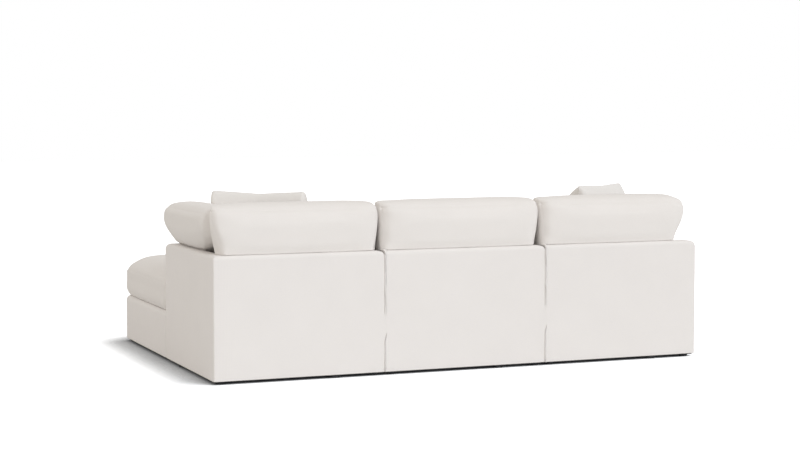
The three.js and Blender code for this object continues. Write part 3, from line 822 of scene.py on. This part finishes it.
def makeBackCushion(node, spot):
    look = {**backCushion, **spot}
    front = sofa["panelInner"] - look["gap"] - look["depth"]
    left, right = look["span"]
    rear = front + look["depth"] - look["rearCrown"]
    top = look["top"] - look["drop"] - look["topBulge"]
    low = np.array([left + look["endBulge"], front + look["frontCrown"], look["bottom"]])
    high = np.array([right - look["endBulge"], rear, top])
    lines = boxLines(low, high, look)
    panelLines, room = look["panelLines"], look["lineRoom"]
    kept = [z for z in lines[2] if all(abs(z - line) > room for line in panelLines)]
    lines[2] = sorted(kept + panelLines)
    points, extremes, quads, flats = boxSkin(lines)
    middle, reach = (low + high) / 2, (high - low) / 2
    s, w, t = ((points - middle) / reach).T
    radii = np.tile(look["radii"], (len(points), 1))
    radii[s > 0, 0] = look["softEnd"]
    formed = rounded(points, low, high, radii)
    power = look["crownSquareness"]
    face = (1 - np.abs(s) ** power) * (1 - np.abs(t) ** power)
    formed[:, 1] -= np.where(extremes[:, 1] == -1, look["frontCrown"] * face, 0)
    formed[:, 1] += np.where(extremes[:, 1] == 1, look["rearCrown"] * face, 0)
    pinch = byEnd(s, look["pinch"]) * np.abs(s) ** look["pinchSharpness"]
    pinch *= smoothStep(t, look["pinchFrom"], 1)
    formed[:, 1] = middle[1] + (formed[:, 1] - middle[1]) * (1 - pinch)
    strip = (1 - w**2) * (1 - np.abs(s) ** byEnd(s, look["squareTop"]))
    formed[:, 2] += np.where(extremes[:, 2] == 1, look["topBulge"] * strip, 0)
    middling = (1 - w**2) ** 2
    strip = middling * (1 - np.abs(t) ** look["squareEnd"])
    formed[:, 0] += np.where(extremes[:, 0] != 0, np.sign(s) * look["endBulge"] * strip, 0)
    pressed = look["pressedShare"] * byEnd(s, look["pressed"])
    waist = (1 - smoothStep(t, *look["waistTop"])) * smoothStep(t, *look["waistFoot"])
    formed[:, 0] -= s * byEnd(s, look["draw"]) * waist * (1 - pressed * middling)
    behind = byEnd(s, [smoothStep(w, *rearEnd) for rearEnd in look["rearEnds"]])
    formed[:, 0] -= s * byEnd(s, look["cornerDraw"]) * behind
    if "tuck" in look:
        # the end in the sofa's corner is squeezed up from below
        tuck = look["tuck"]
        share = np.clip((tuck["level"] - points[:, 2]) / tuck["reach"], 0, 1)
        formed[:, 0] += np.clip(-s, 0, 1) * tuck["depth"] * share ** tuck["power"]
    across, up = look["earSharpness"]
    ear = byEnd(s, look["ear"]) * np.abs(s) ** across * np.clip(t, 0, 1) ** up * (1 - w**2)
    formed[:, 0] += np.sign(s) * ear
    formed[:, 2] += ear
    if "cut" in look:
        # the top corner away from the sofa's corner slopes down
        run, fall = look["cut"]
        slope = np.clip(1 - (1 + s) * reach[0] / run, 0, 1)
        formed[:, 2] -= fall * slope * np.clip(t, 0, 1) ** 2
    formed = lollBack(formed, look, front)
    if "sideways" in look:
        formed = np.column_stack([formed[:, 1], -formed[:, 0], formed[:, 2]])
    x, y = centres[look["module"]]
    formed += (x, y, 0)
    piece = newPiece(node.replace("cushion", "pad"), formed, quads, flats, cloths["cushion cloth"])
    seam = (extremes[:, 1] != 0) & ((extremes[:, 0] != 0) | (extremes[:, 2] != 0))
    return {
        "piece": piece,
        "seam": seam,
        "depth": look["seamDepth"],
        "hold": points[:, 2] < sofa["panelTop"] + look["holdPast"],
    }


pads = {}
for module in footprints:
    pads[f"{module}_seat_cushion"] = makeSeat(module)
for node, spot in cushionSpots.items():
    pads[node] = makeBackCushion(node, spot)
print("stage: cushion forms")


# Throw pillows: two squares sewn at the edge

pillows = {
    "left_pillow": {
        "module": "corner", "size": (0.515, 0.478), "corner": 0.008,
        "sideDraw": (-0.002, -0.018), "topDraw": 0.013, "slump": 0, "front": 0.09,
        "rear": 0.062, "fullness": (14, 3), "firmness": 0.55,
        "foot": (-0.0383, -0.19, 0.486), "turn": -36,
    },
    "right_pillow": {
        "module": "right", "size": (0.558, 0.476), "corner": 0.014,
        "sideDraw": (-0.012, 0.046), "topDraw": 0.009, "slump": 0.056, "front": 0.115,
        "rear": 0.075, "fullness": (6, 2.7), "firmness": 0.95,
        "foot": (-0.012, -0.085, 0.496), "turn": 32,
    },
}
pillowForm = {
    "near": [0, 0.004, 0.011, 0.02, 0.03],
    "cell": 0.012,
    "crease": 4,
    "lean": 20,
    "edge": 0.0016,
    "sidePower": 6,
    "topPower": 1.5,
    "slumpFrom": 0.68,
    "slumpPower": 1.15,
    "seamFrom": 0.9999,
}


def makePillow(node, look):
    form = pillowForm
    width, height = look["size"]
    lines = [gridLines(-width / 2, width / 2, form["near"], form["cell"]), [-0.5, 0.5]]
    lines.append(gridLines(0, height, form["near"], form["cell"]))
    points, _, quads, flats = boxSkin(lines)
    s, t = points[:, 0] / (width / 2), points[:, 2] / (height / 2) - 1
    sideways, upwards = (power * form["crease"] for power in look["fullness"])
    spread = (np.abs(s) ** sideways + np.abs(t) ** upwards) ** (1 / form["crease"])
    swell = (1 - np.minimum(spread, 1)) ** look["firmness"]
    depth = byEnd(points[:, 1], (look["front"], look["rear"]))
    formed = np.column_stack([points[:, 0], np.zeros(len(points)), points[:, 2]])
    radii = (look["corner"], 0.5, look["corner"])
    formed = rounded(formed, (-width / 2, -1, 0), (width / 2, 1, height), radii)
    formed[:, 0] -= byEnd(s, look["sideDraw"]) * (1 - t ** form["sidePower"]) * s
    slumped = np.clip((-s - form["slumpFrom"]) / (1 - form["slumpFrom"]), 0, 1)
    formed[:, 2] -= look["slump"] * slumped ** form["slumpPower"] * np.clip(t, 0, 1) ** 2
    formed[:, 2] -= look["topDraw"] * (1 - np.abs(s)) ** form["topPower"] * t
    formed[:, 1] = np.sign(points[:, 1]) * (form["edge"] + depth * swell)
    lean, turn = math.radians(form["lean"]), math.radians(look["turn"])
    x = formed[:, 0]
    y = formed[:, 1] * math.cos(lean) + formed[:, 2] * math.sin(lean)
    z = -formed[:, 1] * math.sin(lean) + formed[:, 2] * math.cos(lean)
    across = x * math.cos(turn) - y * math.sin(turn)
    along = x * math.sin(turn) + y * math.cos(turn)
    x, y = centres[look["module"]]
    formed = np.column_stack([across, along, z]) + (np.array(look["foot"]) + (x, y, 0))
    name = node.replace("pillow", "throw_pillow")
    piece = newPiece(name, formed, quads, flats, cloths["pillow cloth"])
    seam = (np.abs(s) > form["seamFrom"]) | (np.abs(t) > form["seamFrom"])
    return {"piece": piece, "seam": seam, "depth": 0, "hold": seam}


for node, look in pillows.items():
    pads[node] = makePillow(node, look)
print("stage: pillow forms")


# Every soft piece swells a little, as filled cloth does

swelling = {
    "frames": 20,
    "cap": 0.009,
    "evenRounds": 6,
    "pressure": 4,
    "pillowPressure": 5.5,
    "cloth": {
        "quality": 4, "mass": 0.25, "tension_stiffness": 18, "compression_stiffness": 18,
        "shear_stiffness": 6, "bending_stiffness": 0.6, "air_damping": 4,
        "use_pressure": True, "vertex_group_mass": "held", "pin_stiffness": 5,
    },
}


def evened(piece, moved):
    # neighbouring points move together, so no small dent is left
    ends = np.array([edge.vertices[:] for edge in piece.data.edges])
    near = np.bincount(ends.ravel(), minlength=len(moved))[:, None]
    for _ in range(swelling["evenRounds"]):
        total = np.zeros_like(moved)
        np.add.at(total, ends[:, 0], moved[ends[:, 1]])
        np.add.at(total, ends[:, 1], moved[ends[:, 0]])
        moved = (moved + total / near) / 2
    return moved


def swellPads():
    starts = {node: pointsOf(pad["piece"]) for node, pad in pads.items()}
    for node, pad in pads.items():
        group = pad["piece"].vertex_groups.new(name="held")
        group.add(np.where(pad["hold"])[0].tolist(), 1.0, "REPLACE")
        cloth = pad["piece"].modifiers.new("filling", "CLOTH")
        for setting, value in swelling["cloth"].items():
            setattr(cloth.settings, setting, value)
        pressure = swelling["pillowPressure" if "pillow" in node else "pressure"]
        cloth.settings.uniform_pressure_force = pressure
        cloth.settings.effector_weights.gravity = 0
        cloth.collision_settings.use_collision = False
        cloth.point_cache.frame_start = 1
        cloth.point_cache.frame_end = swelling["frames"]
    for step in range(1, swelling["frames"] + 1):
        scene.frame_set(step)
    graph = bpy.context.evaluated_depsgraph_get()
    swollen = {node: pointsOf(pad["piece"].evaluated_get(graph)) for node, pad in pads.items()}
    for node, pad in pads.items():
        piece = pad["piece"]
        piece.modifiers.clear()
        piece.vertex_groups.clear()
        moved = evened(piece, swollen[node] - starts[node])
        far = np.linalg.norm(moved, axis=1, keepdims=True)
        moved *= np.minimum(1, swelling["cap"] / np.maximum(far, 1e-9))
        setPoints(piece, starts[node] + moved)
        print("  swelled", node, round(float(far.max()), 4))
    scene.frame_set(1)


swellPads()
print("stage: filling")


# Cloth gives way where a cushion meets something firmer


def treeOf(*pieces):
    # one search tree over the surfaces of all these pieces
    points, faces = [], []
    for piece in pieces:
        first = len(points)
        points += [vertex.co.copy() for vertex in piece.data.vertices]
        faces += [[first + k for k in face.vertices] for face in piece.data.polygons]
    return BVHTree.FromPolygons(points, faces)


def giveWay(piece, firm, gap=0.001, reach=0.09):
    tree = treeOf(firm)
    points = pointsOf(piece)
    for i, point in enumerate(points):
        spot, normal = tree.find_nearest(Vector(point), reach)[:2]
        if spot is None:
            continue
        depth = (Vector(point) - spot).dot(normal)
        if depth < gap:
            points[i] = spot + normal * gap
    setPoints(piece, points)


def restOnSeat(piece, seat, level=0.6, above=0.7, gap=0.0012):
    # below the level the cushion is squeezed up onto the seat's crown
    bottom = backCushion["bottom"]
    tree = treeOf(seat)
    points = pointsOf(piece)
    for i, (x, y, z) in enumerate(points):
        if z > level:
            continue
        spot = tree.ray_cast(Vector((x, y, above)), Vector((0, 0, -1)))[0]
        foot = max(bottom, spot.z + gap if spot else bottom)
        share = max(0, (z - bottom) / (level - bottom))
        points[i, 2] = foot + share * (level - foot)
    setPoints(piece, points)


def stayInside(piece, low, high):
    points = pointsOf(piece)
    points[:, :2] = np.clip(points[:, :2], np.array(low)[:2], np.array(high)[:2])
    setPoints(piece, points)


panelRest = {"sink": 0.0005, "airRun": (0.005, 0.03)}


def clearOfPanels(piece, module, axes, air):
    # in front of or above the panels that the cushion leans on, with some air over the outer edge
    x, y = centres[module]
    points = pointsOf(piece) - (x, y, 0)
    inner, edge = sofa["panelInner"] - backCushion["gap"], panelCover["edge"]
    for axis in axes:
        beyond = points[:, axis] - inner
        # the top's height where the cushion lies on it, round the outer edge
        over = np.clip(beyond - panelCover["thickness"] + edge, 0, edge)
        top = sofa["panelTop"] - panelRest["sink"] - edge + np.sqrt(edge**2 - over**2)
        top += air * smoothStep(beyond, *panelRest["airRun"])
        below = top - points[:, 2]
        inside = (beyond > 0) & (below > 0)
        forward = inside & (beyond < below)
        points[forward, axis] = inner
        lifted = inside & ~forward
        points[lifted, 2] = top[lifted]
    setPoints(piece, points + (x, y, 0))


mitre = {"shift": 0.078, "gap": 0.0008}


def stayBehindMitre(piece, side):
    # the corner's two cushions press flat against each other on a diagonal
    x, y = centres["corner"]
    points = pointsOf(piece)
    # positive on the back cushion's side
    across = (points[:, 1] - y) - (points[:, 0] - x) + mitre["shift"]
    over = across * side - mitre["gap"]
    push = np.where(over < 0, -over / 2, 0) * side
    points[:, 1] += push
    points[:, 0] -= push
    setPoints(piece, points)


# how far cushions may reach past a line that lies just inside the module's edge
limits = {"inside": 0.0007, "seat": 0.02, "start": 0.006, "ahead": 0.001}
edge = sofa["module"] / 2 - limits["inside"]
for module in footprints:
    low, high = seatSpan(module)
    for axis, direction in freeSides[module]:
        (low if direction < 0 else high)[axis] += direction * limits["seat"]
    stayInside(pads[f"{module}_seat_cushion"]["piece"], low, high)
for node, spot in cushionSpots.items():
    piece, module = pads[node]["piece"], spot["module"]
    x, y = centres[module]
    restOnSeat(piece, pads[f"{module}_seat_cushion"]["piece"])
    outer = spot.get("reachPast", backCushion["reachPast"])
    stayInside(piece, (x - edge - limits["start"], y - edge), (x + edge + outer, y + 1))
    if module != "corner":
        # only the part over the panel leans on the next cushion, so that the seats lift past it
        points = pointsOf(piece)
        ahead = points[:, 1] < y + sofa["panelInner"]
        points[ahead, 0] = np.minimum(points[ahead, 0], x + edge + limits["ahead"])
        setPoints(piece, points)
    clearOfPanels(piece, module, (1, 0) if module == "corner" else (1,), spot.get("air", 0))
stayBehindMitre(pads["corner_back_cushion"]["piece"], 1)
stayBehindMitre(pads["corner_side_cushion"]["piece"], -1)
for pillow, firm in (
    ("left_pillow", "corner_seat_cushion"),
    ("left_pillow", "corner_side_cushion"),
    ("right_pillow", "right_seat_cushion"),
    ("right_pillow", "right_back_cushion"),
):
    giveWay(pads[pillow]["piece"], pads[firm]["piece"])
print("stage: contacts")


# Seams are pulled in, and the pieces are made finer

bodyWords = {"seat_cushion": "seat", "cushion": "rest", "pillow": "throw"}
for node, pad in pads.items():
    body = node
    for word, bodyWord in bodyWords.items():
        body = body.replace(word, bodyWord)
    piece = pad["piece"]
    points = pointsOf(piece)
    points[pad["seam"]] -= normalsOf(piece)[pad["seam"]] * pad["depth"]
    setPoints(piece, points)
    finer = piece.modifiers.new("finer", "SUBSURF")
    finer.levels = finer.render_levels = 1
    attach(piece, body)
    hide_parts(node)
print("stage: seams")


# Stitches and staples, set along paths that lie on the finished surfaces

threadLook = {
    "dark": (0.66, 0.62, 0.58), "light": (0.82, 0.785, 0.75), "stretch": (500, 500, 500),
    "relief": 0.4, "rough": 0.85,
}
stitching = {"Spacing": 0.0075, "Length": 0.0048, "Width": 0.0009, "Turn": 0.08, "Seed": 3}
stapling = {"Spacing": 0.045, "Length": 0.011, "Width": 0.0011, "Turn": 0.35, "Seed": 8}
hemPaths = {
    "corner": [[(-1, 1), (1, 1), (1, -1)]],
    "middle": [[(-1, 1), (1, 1)], [(-1, -1), (1, -1)]],
    "right": [[(1, 1), (-1, 1), (-1, -1), (1, -1)]],
    "ottoman": [[(1, 1), (1, -1), (-1, -1), (-1, 1)]],
}
hemStitch = {"height": 0.014, "step": 0.02, "lift": 0.0001, "aboveRing": 0.006}
staplePath = {"inset": 0.012, "step": 0.1, "drop": 0.0002}
finishes["seam thread"] = hiddenFinish("seam thread", threadLook)


def rowTree(name, values, material):
    # small rounded bits set end to end along an edge path
    tree = bpy.data.node_groups.new(name, "GeometryNodeTree")
    tree.interface.new_socket("Path", in_out="INPUT", socket_type="NodeSocketGeometry")
    for label, value in values.items():
        kind = "NodeSocketInt" if label == "Seed" else "NodeSocketFloat"
        tree.interface.new_socket(label, in_out="INPUT", socket_type=kind).default_value = value
    tree.interface.new_socket("Row", in_out="OUTPUT", socket_type="NodeSocketGeometry")
    given = addNode(tree, "NodeGroupInput").outputs
    curve = addNode(tree, "GeometryNodeMeshToCurve", {"Mesh": given["Path"]})
    spacing = {"Curve": curve.outputs[0], "Length": given["Spacing"]}
    spaced = addNode(tree, "GeometryNodeResampleCurve", spacing, mode="LENGTH")
    along = addNode(tree, "GeometryNodeInputTangent").outputs[0]
    aligned = addNode(tree, "FunctionNodeAlignRotationToVector", {"Vector": along}, axis="X")
    back = arithmetic(tree, "MULTIPLY", given["Turn"], -1.0)
    swing = {2: back, 3: given["Turn"], "Seed": given["Seed"]}
    turn = addNode(tree, "FunctionNodeRandomValue", swing)
    spin = addNode(tree, "ShaderNodeCombineXYZ", {"Z": turn.outputs[1]})
    both = {0: aligned.outputs[0], 1: spin.outputs[0]}
    turned = addNode(tree, "FunctionNodeRotateRotation", both, rotation_space="LOCAL")
    bit = addNode(tree, "GeometryNodeMeshUVSphere", {"Segments": 6, "Rings": 4, "Radius": 0.5})
    sizes = {0: given["Length"], 1: given["Width"], 2: given["Width"]}
    placing = {
        "Points": spaced.outputs[0],
        "Instance": bit.outputs[0],
        "Rotation": turned.outputs[0],
        "Scale": addNode(tree, "ShaderNodeCombineXYZ", sizes).outputs[0],
    }
    placed = addNode(tree, "GeometryNodeInstanceOnPoints", placing)
    real = addNode(tree, "GeometryNodeRealizeInstances", {0: placed.outputs[0]})
    finish = {"Geometry": real.outputs[0], "Material": material}
    dressed = addNode(tree, "GeometryNodeSetMaterial", finish)
    addNode(tree, "NodeGroupOutput", {0: dressed.outputs[0]})
    return tree


rows = {}
for kind, values, finish, slot in (
    ("stitches", stitching, "seam thread", "cushion_cloth"),
    ("staples", stapling, "zinc steel", "zinc_steel"),
):
    rows[kind] = (rowTree(kind, values, finishes[finish]), values, slot)


def layRow(name, kind, paths, body):
    # every path is a list of points, closed when it ends where it starts
    tree, values, slot = rows[kind]
    points, edges = [], []
    for path in paths:
        first = len(points)
        closed = (Vector(path[0]) - Vector(path[-1])).length < 1e-6
        points += path[:-1] if closed else path
        edges += [(i, i + 1) for i in range(first, len(points) - 1)]
        if closed:
            edges.append((len(points) - 1, first))
    mesh = bpy.data.meshes.new(name + "_path")
    mesh.from_pydata([tuple(point) for point in points], edges, [])
    holder = linkedObject(name + "_path", mesh)
    modifier = holder.modifiers.new("row", "NODES")
    modifier.node_group = tree
    for socket in tree.interface.items_tree:
        if socket.in_out == "INPUT" and socket.name in values:
            modifier[socket.identifier] = values[socket.name]
    shaped = holder.evaluated_get(bpy.context.evaluated_depsgraph_get())
    piece = linkedObject(name, bpy.data.meshes.new_from_object(shaped))
    bpy.data.objects.remove(holder)
    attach(piece, body)


def finishedTree(*names):
    graph = bpy.context.evaluated_depsgraph_get()
    return treeOf(*(bpy.data.objects[name].evaluated_get(graph) for name in names))


def laidOn(tree, path, lift):
    laid = []
    for point in path:
        spot, normal = tree.find_nearest(Vector(point))[:2]
        laid.append(tuple(spot + normal * lift))
    return laid


def stepped(corners, step):
    path = []
    for start, end in zip(corners, corners[1:]):
        start, end = np.array(start, float), np.array(end, float)
        count = max(1, round(np.linalg.norm(end - start) / step))
        path += [start + (end - start) * i / count for i in range(count)]
    return path + [np.array(corners[-1], float)]


for module, runs in hemPaths.items():
    x, y = centres[module]
    covers = [f"{module}_base_upholstery"]
    if module != "ottoman":
        covers.append({"corner": "corner_panel"}.get(module, module + "_back") + "_upholstery")
    surface = finishedTree(*covers)
    height = sofa["hem"] + hemStitch["height"]
    laid = []
    for run in runs:
        corners = [(x + a * halfSpan, y + b * halfSpan, height) for a, b in run]
        laid.append(laidOn(surface, stepped(corners, hemStitch["step"]), hemStitch["lift"]))
    layRow(f"{module}_hem_stitches", "stitches", laid, module)
    seat = pads[f"{module}_seat_cushion"]
    ring = pointsOf(seat["piece"])[seat["topRing"]]
    order = np.argsort(np.arctan2(ring[:, 1] - y, ring[:, 0] - x))
    ring = ring[order] + (0, 0, hemStitch["aboveRing"])
    laid = laidOn(finishedTree(f"{module}_seat_pad"), ring, hemStitch["lift"])
    layRow(f"{module}_seat_stitches", "stitches", [laid + laid[:1]], f"{module}_seat")
    low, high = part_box(f"{module}_dust_cover")
    inset, height = staplePath["inset"], low[2] - staplePath["drop"]
    left, near, right, far = low[0] + inset, low[1] + inset, high[0] - inset, high[1] - inset
    square = [(left, near), (right, near), (right, far), (left, far), (left, near)]
    path = stepped([(a, b, height) for a, b in square], staplePath["step"])
    layRow(f"{module}_staples", "staples", [path], module)
print("stage: stitches and staples")
